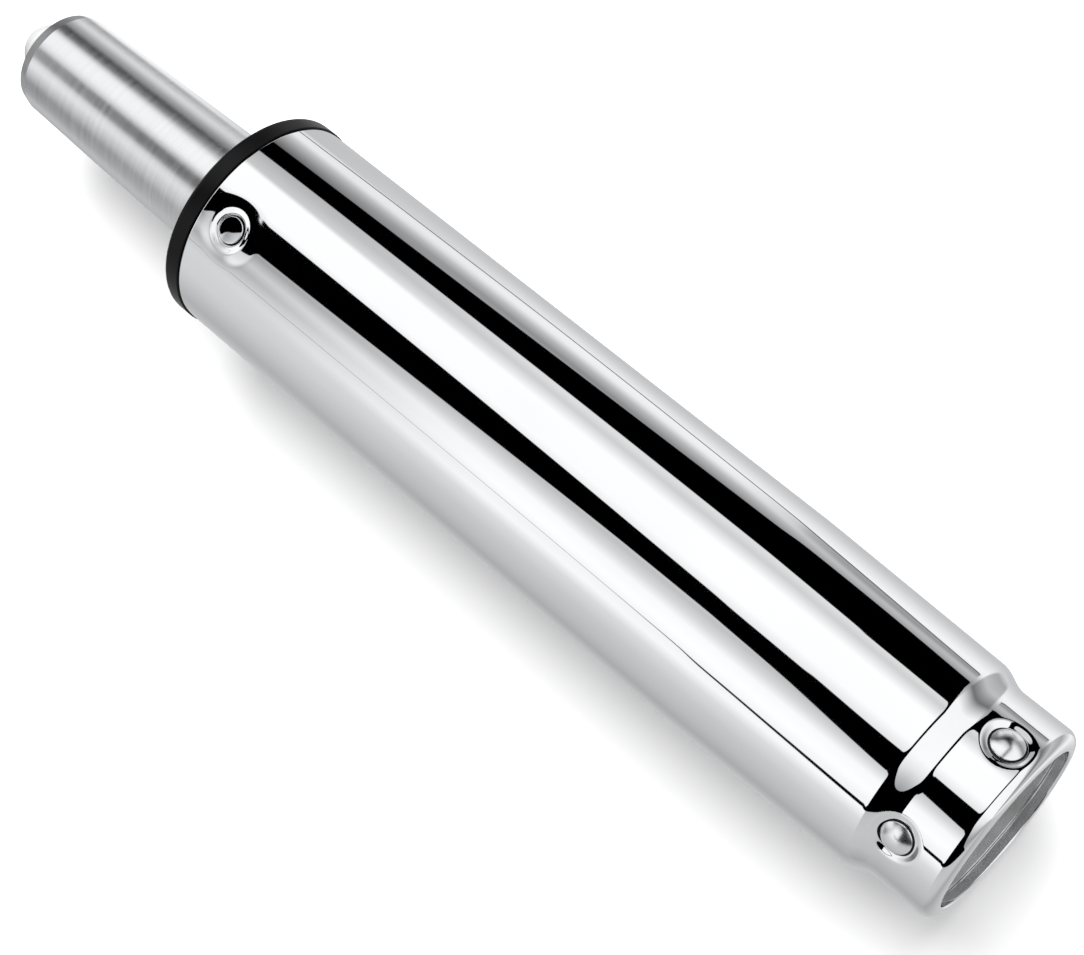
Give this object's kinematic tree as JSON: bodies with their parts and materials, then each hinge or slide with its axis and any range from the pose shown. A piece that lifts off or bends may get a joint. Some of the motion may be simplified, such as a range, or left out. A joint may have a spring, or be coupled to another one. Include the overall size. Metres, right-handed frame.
{
  "type": "gas lift cylinder",
  "caption": "Height column of a swivel chair: chromed column with a tapered foot, a gas spring that slides and turns in it, and a release button at the tip.",
  "frame": {"origin": "centre of the foot rim's underside, where the column stands", "axes": "+Z along the column's axis, from the foot to the release button; -Y is the front, the side that the picture shows"},
  "size_m": [0.0506, 0.0516, 0.2828],
  "materials": {
    "column_chrome": "mirror polished chrome plate",
    "rivet_chrome": "mirror polished chrome plate",
    "pressed_steel": "satin, drawn",
    "black_acetal": "fine moulded satin",
    "bearing_steel": "ground and polished",
    "brass_cage": "stamped",
    "zinc_steel": "zinc plated",
    "spring_steel": "black oxide",
    "bumper_rubber": "matt moulded",
    "seal_rubber": "smooth",
    "ground_rod": "ground hard chrome",
    "aluminium_turned": "turned",
    "ground_steel": "satin, ground round the axis",
    "drawn_steel": "drawn",
    "guide_acetal": "turned",
    "white_nylon": "translucent moulded"
  },
  "bodies": {
    "column": {"column_tube": "column_chrome", "base_cup": "pressed_steel", "foot_rivets": "rivet_chrome", "upper_rivets": "rivet_chrome", "guide_bush": "black_acetal", "lower_race": "bearing_steel"},
    "bearing": {"ball_cage": "brass_cage", "bearing_balls": "bearing_steel"},
    "rod": {"piston_rod": "ground_rod", "upper_race": "bearing_steel", "bumper_washer": "zinc_steel", "rubber_bumper": "bumper_rubber", "foot_washer": "zinc_steel", "retaining_clip": "spring_steel", "piston": "aluminium_turned", "piston_ring": "seal_rubber", "piston_nut": "zinc_steel"},
    "gas_spring": {"pressure_tube": "ground_steel", "seal_washer": "zinc_steel", "rod_seal": "seal_rubber", "rod_guide": "guide_acetal", "inner_tube": "drawn_steel", "valve_body": "aluminium_turned", "valve_orings": "seal_rubber", "valve_seat": "seal_rubber", "pin_orings": "seal_rubber"},
    "release": {"release_pin": "ground_rod", "release_button": "white_nylon"}
  },
  "joints": [
    {"name": "swivel", "type": "hinge", "parent": "column", "child": "rod", "pos_m": [0, 0, 0.0217], "axis": [0, 0, 1], "continuous": true},
    {"name": "cage_roll", "type": "hinge", "parent": "column", "child": "bearing", "pos_m": [0, 0, 0.0217], "axis": [0, 0, 1], "continuous": true},
    {"name": "lift", "type": "slide", "parent": "rod", "child": "gas_spring", "axis": [0, 0, 1], "range_m": [0, 0.1]},
    {"name": "release_press", "type": "slide", "parent": "gas_spring", "child": "release", "axis": [0, 0, 1], "range_m": [-0.003, 0], "stiffness_N_per_m": 5000, "springref_m": 0.004}
  ],
  "couplings": [
    {"joint": "cage_roll", "follows": "swivel", "ratio": 0.5}
  ]
}
